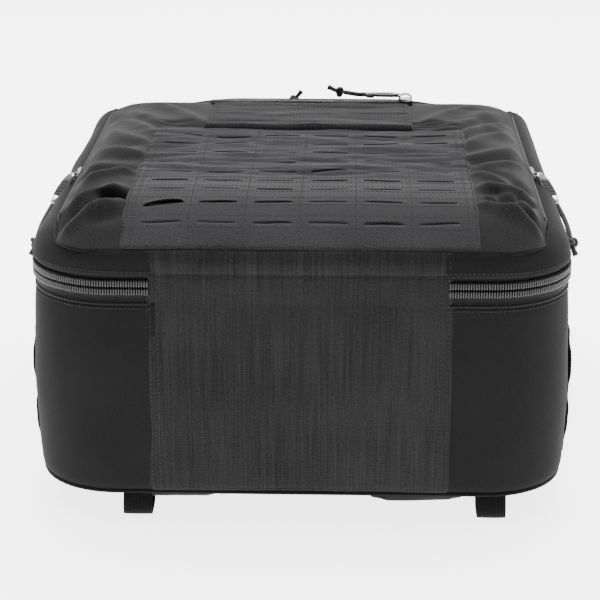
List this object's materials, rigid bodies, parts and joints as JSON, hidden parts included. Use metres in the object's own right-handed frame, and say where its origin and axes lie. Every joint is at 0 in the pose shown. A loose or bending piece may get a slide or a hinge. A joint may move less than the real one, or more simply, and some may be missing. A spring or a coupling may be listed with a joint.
{
  "type": "trauma backpack",
  "caption": "Clamshell medical backpack lying on its back: zipped lid with a zipped front pocket, laser-cut webbing slits, padded shoulder straps and a grab handle.",
  "frame": {"origin": "centre of the footprint, on the surface that the pack lies on", "axes": "+Z out of the pack's front, +Y towards the grab handle, +X to the right seen from the bottom end"},
  "size_m": [0.403, 0.503, 0.2286],
  "materials": {
    "shell_fabric": "plain-weave coated nylon, matt",
    "spacer_mesh": "spacer mesh with round holes",
    "foam": "closed-cell foam",
    "frame_plastic": "polyethylene sheet",
    "loop_cloth": "brushed loop cloth",
    "webbing": "woven nylon webbing",
    "handle_sleeve": "padded sleeve",
    "piping": "folded binding tape",
    "laminate": "laser-cut laminate",
    "zip_coil": "nylon coil on woven tape",
    "buckle_plastic": "moulded acetal",
    "slider_metal": "painted die-cast zinc",
    "pull_tab": "moulded tab with a metal end",
    "pull_cord": "braided nylon cord"
  },
  "bodies": {
    "pack": {"back_panel": "shell_fabric", "back_foam": "foam", "frame_sheet": "frame_plastic", "back_lining": "loop_cloth", "back_pad_left": "spacer_mesh", "back_pad_right": "spacer_mesh", "gusset_left": "shell_fabric", "gusset_right": "shell_fabric", "top_panel": "shell_fabric", "bottom_panel": "shell_fabric", "main_zip_body": "zip_coil", "side_webbing": "webbing", "webbing_loops": "webbing", "strap_yoke": "shell_fabric", "strap_wings": "shell_fabric", "lower_webbing": "webbing", "handle_patches": "webbing", "divider": "shell_fabric", "elastic_loops": "webbing"},
    "handle": {"handle_webbing": "webbing", "handle_grip": "handle_sleeve"},
    "strap_left": {"shoulder_strap_left": "spacer_mesh", "ladder_lock_left": "buckle_plastic", "sternum_webbing_left": "webbing", "sternum_buckle_left": "buckle_plastic"},
    "strap_right": {"shoulder_strap_right": "spacer_mesh", "ladder_lock_right": "buckle_plastic", "sternum_webbing_right": "webbing", "sternum_buckle_right": "buckle_plastic"},
    "lid": {"lid_gusset": "shell_fabric", "lid_hinge_panel": "shell_fabric", "lid_panel": "shell_fabric", "lid_piping": "piping", "lid_pockets": "spacer_mesh", "main_zip_lid": "zip_coil", "pocket_zip_lid": "zip_coil"},
    "pocket_flap": {"pocket_zip_flap": "zip_coil", "pocket_face": "shell_fabric", "pocket_wall": "shell_fabric", "laser_cut_panel": "laminate", "loop_panel": "loop_cloth", "upper_zip": "zip_coil"},
    "main_slide_left": {"main_left_slider": "slider_metal"},
    "main_tab_left": {"main_left_pull": "pull_tab", "main_left_cord_end": "pull_cord"},
    "main_slide_right": {"main_right_slider": "slider_metal"},
    "main_tab_right": {"main_right_pull": "pull_tab", "main_right_cord_end": "pull_cord"},
    "pocket_slide_left": {"pocket_left_slider": "slider_metal"},
    "pocket_tab_left": {"pocket_left_pull": "pull_tab", "pocket_left_cord": "pull_cord", "pocket_left_knot": "pull_cord"},
    "pocket_slide_right": {"pocket_right_slider": "slider_metal"},
    "pocket_tab_right": {"pocket_right_pull": "pull_tab", "pocket_right_cord": "pull_cord", "pocket_right_knot": "pull_cord"},
    "upper_slide": {"upper_slider": "slider_metal"},
    "upper_tab": {"upper_pull": "pull_tab", "upper_cord_end": "pull_cord"}
  },
  "joints": [
    {"name": "lid_hinge", "type": "hinge", "parent": "pack", "child": "lid", "pos_m": [0, -0.252, 0.172], "axis": [1, 0, 0], "range_deg": [0, 180]},
    {"name": "pocket_hinge", "type": "hinge", "parent": "lid", "child": "pocket_flap", "pos_m": [0, -0.2455, 0.1986], "axis": [1, 0, 0], "range_deg": [0, 50]},
    {"name": "handle_swing", "type": "hinge", "parent": "pack", "child": "handle", "pos_m": [0, 0.2167, 0.042], "axis": [1, 0, 0], "range_deg": [-65, 65]},
    {"name": "strap_left_swing", "type": "hinge", "parent": "pack", "child": "strap_left", "pos_m": [0, 0.13, 0.005], "axis": [1, 0, 0], "range_deg": [0, 60]},
    {"name": "strap_right_swing", "type": "hinge", "parent": "pack", "child": "strap_right", "pos_m": [0, 0.13, 0.005], "axis": [1, 0, 0], "range_deg": [0, 60]},
    {"name": "main_zip_left", "type": "slide", "parent": "pack", "child": "main_slide_left", "axis": [-1, 0, 0], "range_m": [0, 0.055]},
    {"name": "main_tab_left_turn", "type": "hinge", "parent": "main_slide_left", "child": "main_tab_left", "pos_m": [-0.062, 0.221, 0.175], "axis": [0, 0, 1], "range_deg": [0, 150]},
    {"name": "main_zip_right", "type": "slide", "parent": "pack", "child": "main_slide_right", "axis": [1, 0, 0], "range_m": [0, 0.15]},
    {"name": "main_tab_right_turn", "type": "hinge", "parent": "main_slide_right", "child": "main_tab_right", "pos_m": [-0.045, 0.221, 0.169], "axis": [1, 0, 0], "range_deg": [0, 90]},
    {"name": "pocket_zip_left", "type": "slide", "parent": "lid", "child": "pocket_slide_left", "axis": [0, 1, 0], "range_m": [-0.1, 0.16]},
    {"name": "pocket_tab_left_turn", "type": "hinge", "parent": "pocket_slide_left", "child": "pocket_tab_left", "pos_m": [-0.177, -0.0785, 0.2045], "axis": [0, 1, 0], "range_deg": [0, 100]},
    {"name": "pocket_zip_right", "type": "slide", "parent": "lid", "child": "pocket_slide_right", "axis": [0, 1, 0], "range_m": [-0.11, 0.15]},
    {"name": "pocket_tab_right_turn", "type": "hinge", "parent": "pocket_slide_right", "child": "pocket_tab_right", "pos_m": [0.177, -0.0685, 0.2045], "axis": [0, -1, 0], "range_deg": [0, 100]},
    {"name": "upper_zip_slide", "type": "slide", "parent": "pocket_flap", "child": "upper_slide", "axis": [-1, 0, 0], "range_m": [0, 0.15]},
    {"name": "upper_tab_turn", "type": "hinge", "parent": "upper_slide", "child": "upper_tab", "pos_m": [0.077, 0.1365, 0.2195], "axis": [0, 1, 0], "range_deg": [0, 150]}
  ]
}
